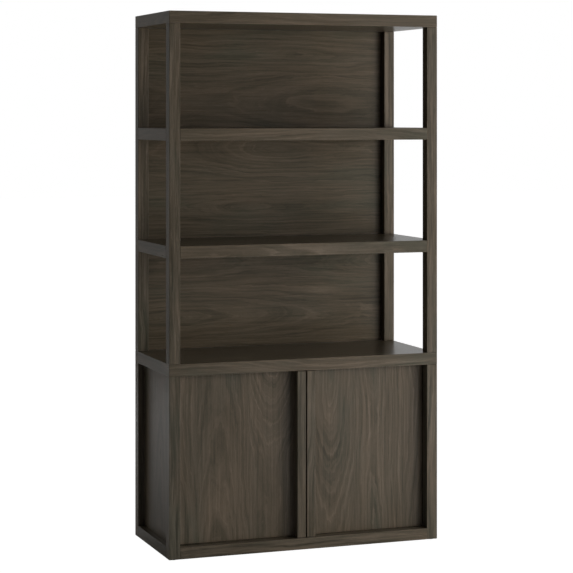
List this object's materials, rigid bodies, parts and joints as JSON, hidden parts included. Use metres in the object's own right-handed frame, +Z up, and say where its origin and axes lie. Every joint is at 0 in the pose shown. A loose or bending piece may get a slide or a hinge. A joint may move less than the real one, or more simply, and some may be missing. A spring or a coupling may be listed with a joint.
{
  "type": "open shelf bookcase with door cabinet",
  "caption": "Tall open-shelf bookcase in dark walnut veneer, on a base cabinet with hinged doors, full-height pull strips and a hidden adjustable shelf.",
  "frame": {"origin": "middle of the footprint, on the floor under the glides", "axes": "+X to the right seen from the front, +Y to the rear so that the doors face -Y, +Z up"},
  "size_m": [1.068, 0.46, 2.005],
  "materials": {
    "walnut_frame": "satin lacquered dark walnut veneer",
    "walnut_doors": "satin lacquered dark walnut veneer, grain upright",
    "walnut_backs": "satin lacquered dark walnut veneer, grain level",
    "steel": "zinc plated, satin",
    "catch_plastic": "matte moulded plastic",
    "beech": "bare turned beech",
    "glide_nylon": "matte nylon"
  },
  "bodies": {
    "carcass": {"top_panel": "walnut_frame", "deck": "walnut_frame", "lower_shelf": "walnut_frame", "upper_shelf": "walnut_frame", "front_left_lower_post": "walnut_frame", "front_right_lower_post": "walnut_frame", "rear_left_lower_post": "walnut_frame", "rear_right_lower_post": "walnut_frame", "front_left_upper_post": "walnut_frame", "front_right_upper_post": "walnut_frame", "rear_left_upper_post": "walnut_frame", "rear_right_upper_post": "walnut_frame", "front_base_rail": "walnut_frame", "rear_base_rail": "walnut_frame", "left_base_rail": "walnut_frame", "right_base_rail": "walnut_frame", "cabinet_bottom": "walnut_frame", "left_cabinet_side": "walnut_frame", "right_cabinet_side": "walnut_frame", "inner_shelf": "walnut_frame", "upper_back_panel": "walnut_backs", "cabinet_back_panel": "walnut_backs", "left_upper_hinge_carcass_leaf": "steel", "left_lower_hinge_carcass_leaf": "steel", "right_upper_hinge_carcass_leaf": "steel", "right_lower_hinge_carcass_leaf": "steel", "left_magnetic_catch": "catch_plastic", "right_magnetic_catch": "catch_plastic", "front_left_shelf_pin": "steel", "front_right_shelf_pin": "steel", "rear_left_shelf_pin": "steel", "rear_right_shelf_pin": "steel", "front_left_stud": "steel", "front_right_stud": "steel", "rear_left_stud": "steel", "rear_right_stud": "steel", "front_left_dowel": "beech", "front_right_dowel": "beech", "rear_left_dowel": "beech", "rear_right_dowel": "beech", "front_left_glide": "glide_nylon", "front_right_glide": "glide_nylon", "rear_left_glide": "glide_nylon", "rear_right_glide": "glide_nylon"},
    "left_door": {"left_door_panel": "walnut_doors", "left_pull_strip": "walnut_doors", "left_strike_plate": "steel", "left_upper_hinge_door_leaf": "steel", "left_lower_hinge_door_leaf": "steel"},
    "right_door": {"right_door_panel": "walnut_doors", "right_pull_strip": "walnut_doors", "right_strike_plate": "steel", "right_upper_hinge_door_leaf": "steel", "right_lower_hinge_door_leaf": "steel"}
  },
  "joints": [
    {"name": "left_door_hinge", "type": "hinge", "parent": "carcass", "child": "left_door", "pos_m": [-0.483, -0.181, 0.3575], "axis": [0, 0, -1], "range_deg": [0, 90]},
    {"name": "right_door_hinge", "type": "hinge", "parent": "carcass", "child": "right_door", "pos_m": [0.483, -0.181, 0.3575], "axis": [0, 0, 1], "range_deg": [0, 90]}
  ]
}
